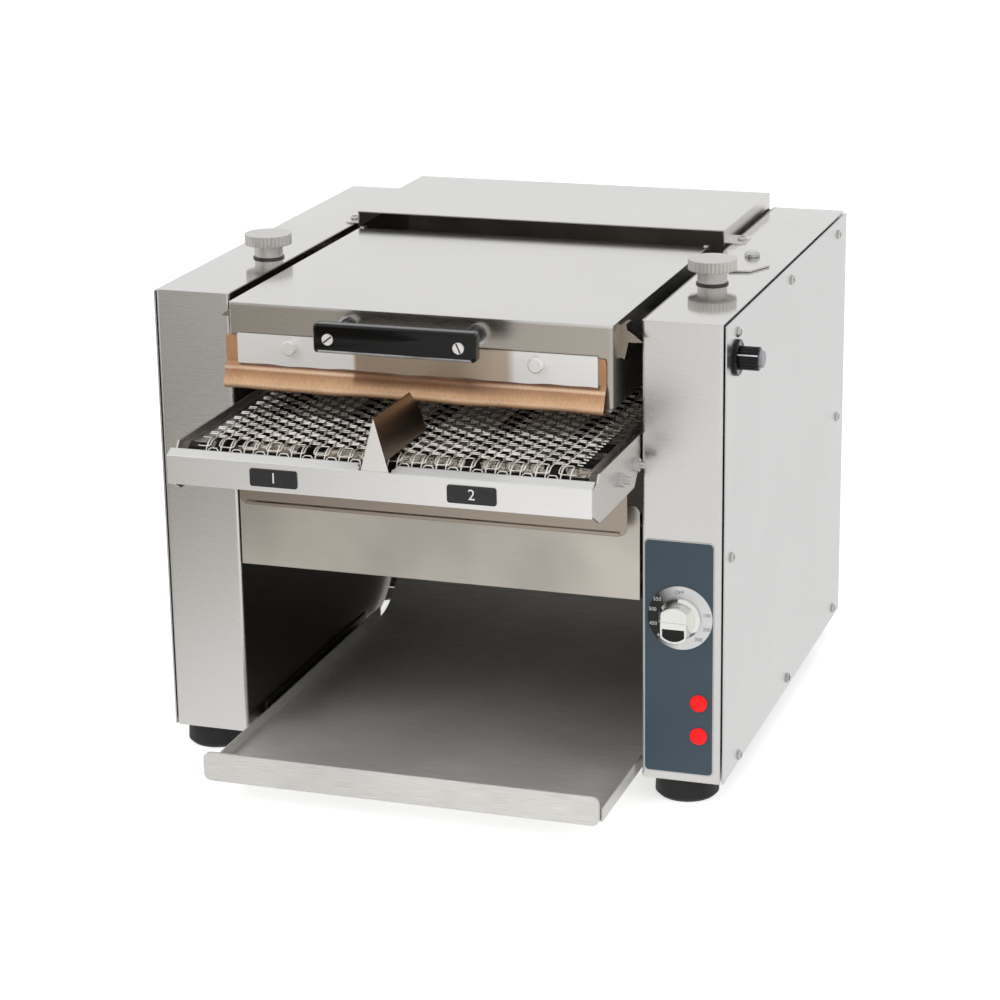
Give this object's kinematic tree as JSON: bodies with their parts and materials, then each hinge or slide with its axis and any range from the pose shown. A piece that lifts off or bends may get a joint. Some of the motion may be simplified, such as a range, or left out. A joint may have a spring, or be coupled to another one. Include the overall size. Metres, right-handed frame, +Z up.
{
  "type": "contact bun toaster",
  "caption": "Counter-top contact bun toaster: brushed steel towers, a wire feed belt under a lift-up heated platen, and a curved discharge tray.",
  "frame": {"origin": "middle of the outer box on the counter that the feet stand on", "axes": "+X to the operator's right, +Y from the feed lip to the back, +Z up"},
  "size_m": [0.5014, 0.5908, 0.4207],
  "materials": {
    "brushed_steel": "brushed stainless sheet",
    "bright_steel": "bright stainless wire and fasteners",
    "turned_aluminium": "turned and machined",
    "dark_steel": "machined steel, oiled",
    "chrome": "polished plating",
    "dial": "satin with printed numbers",
    "bronze": "plain bearing bronze",
    "black_rubber": "moulded",
    "black_plastic": "moulded heat resistant plastic",
    "release_film": "coated glass cloth, satin",
    "element_sheath": "heat tinted sheath",
    "motor_paint": "enamel",
    "overlay_print": "printed film",
    "lamp_red": "clear moulded lens",
    "ivory_plastic": "moulded"
  },
  "bodies": {
    "frame": {"left_tower": "brushed_steel", "right_tower": "brushed_steel", "left_side_panel": "brushed_steel", "right_side_panel": "brushed_steel", "rear_cover": "brushed_steel", "rear_panel": "brushed_steel", "rear_chute": "brushed_steel", "apron": "brushed_steel", "belt_guard": "brushed_steel", "feed_lip": "brushed_steel", "lane_divider": "brushed_steel", "tray_rails": "brushed_steel", "left_conveyor_plate": "brushed_steel", "right_conveyor_plate": "brushed_steel", "casing_screws": "bright_steel", "conveyor_bolts": "bright_steel", "wire_belt": "bright_steel", "belt_bed": "bright_steel", "pivot_brackets": "bright_steel", "screw_brackets": "bright_steel", "latch_screw": "bright_steel", "drive_chain": "bright_steel", "dial_ring": "dial", "shaft_bushings": "bronze", "feet": "black_rubber", "lane_labels": "black_plastic", "adjuster_bushes": "black_plastic", "cable_gland": "black_plastic", "speed_control": "black_plastic", "gear_motor": "motor_paint", "control_overlay": "overlay_print", "indicator_lamps": "lamp_red", "terminal_block": "ivory_plastic", "thermostat_body": "ivory_plastic"},
    "platen": {"platen_cover": "brushed_steel", "platen_plate": "turned_aluminium", "heating_elements": "element_sheath", "release_sheet": "release_film", "clamp_bar": "brushed_steel", "clamp_studs": "bright_steel", "handle": "black_plastic", "handle_ferrules": "bright_steel", "handle_screws": "bright_steel", "platen_brackets": "bronze", "platen_pins": "bright_steel"},
    "left_adjuster": {"left_adjust_knob": "turned_aluminium"},
    "right_adjuster": {"right_adjust_knob": "turned_aluminium"},
    "left_height_carriage": {"left_carriage": "bright_steel"},
    "right_height_carriage": {"right_carriage": "bright_steel"},
    "thermostat": {"thermostat_knob": "chrome"},
    "speed": {"speed_knob": "black_plastic"},
    "latch": {"swing_latch": "brushed_steel"},
    "tray": {"discharge_tray": "brushed_steel"},
    "belt_drive": {"drive_shaft": "bright_steel", "drive_sprockets": "dark_steel", "driven_sprocket": "dark_steel"},
    "belt_idler": {"front_shaft": "bright_steel", "front_rollers": "dark_steel"},
    "motor_output": {"motor_sprocket": "dark_steel"}
  },
  "joints": [
    {"name": "platen_lift", "type": "hinge", "parent": "frame", "child": "platen", "pos_m": [-0.0098, 0.1024, 0.375], "axis": [-1, 0, 0], "range_deg": [0, 55]},
    {"name": "left_knob_turn", "type": "hinge", "parent": "frame", "child": "left_adjuster", "pos_m": [-0.2028, -0.0276, 0.4], "axis": [0, 0, 1], "range_deg": [0, 1440]},
    {"name": "right_knob_turn", "type": "hinge", "parent": "frame", "child": "right_adjuster", "pos_m": [0.1832, -0.0276, 0.4], "axis": [0, 0, 1], "range_deg": [0, 1440]},
    {"name": "left_carriage_drop", "type": "slide", "parent": "frame", "child": "left_height_carriage", "axis": [0, 0, 1], "range_m": [-0.012, 0]},
    {"name": "right_carriage_drop", "type": "slide", "parent": "frame", "child": "right_height_carriage", "axis": [0, 0, 1], "range_m": [-0.012, 0]},
    {"name": "thermostat_turn", "type": "hinge", "parent": "frame", "child": "thermostat", "pos_m": [0.1934, -0.1636, 0.1615], "axis": [0, 1, 0], "range_deg": [0, 290]},
    {"name": "speed_turn", "type": "hinge", "parent": "frame", "child": "speed", "pos_m": [0.2287, -0.1296, 0.367], "axis": [-1, 0, 0], "range_deg": [0, 280]},
    {"name": "latch_swing", "type": "hinge", "parent": "frame", "child": "latch", "pos_m": [0.1927, 0.0694, 0.401], "axis": [0, 0, 1], "range_deg": [0, 40]},
    {"name": "tray_slide", "type": "slide", "parent": "frame", "child": "tray", "axis": [0, -1, 0], "range_m": [0, 0.3]},
    {"name": "drive_spin", "type": "hinge", "parent": "frame", "child": "belt_drive", "pos_m": [-0.0098, 0.1524, 0.29765], "axis": [-1, 0, 0], "continuous": true},
    {"name": "idler_spin", "type": "hinge", "parent": "frame", "child": "belt_idler", "pos_m": [-0.0098, -0.2656, 0.29765], "axis": [-1, 0, 0], "continuous": true},
    {"name": "motor_spin", "type": "hinge", "parent": "frame", "child": "motor_output", "pos_m": [-0.0098, 0.1524, 0.17265], "axis": [-1, 0, 0], "continuous": true}
  ],
  "couplings": [
    {"joint": "left_carriage_drop", "follows": "left_knob_turn", "m_per_rad": -0.000477},
    {"joint": "right_carriage_drop", "follows": "right_knob_turn", "m_per_rad": -0.000477},
    {"joint": "idler_spin", "follows": "drive_spin", "ratio": 1},
    {"joint": "motor_spin", "follows": "drive_spin", "ratio": 1}
  ]
}
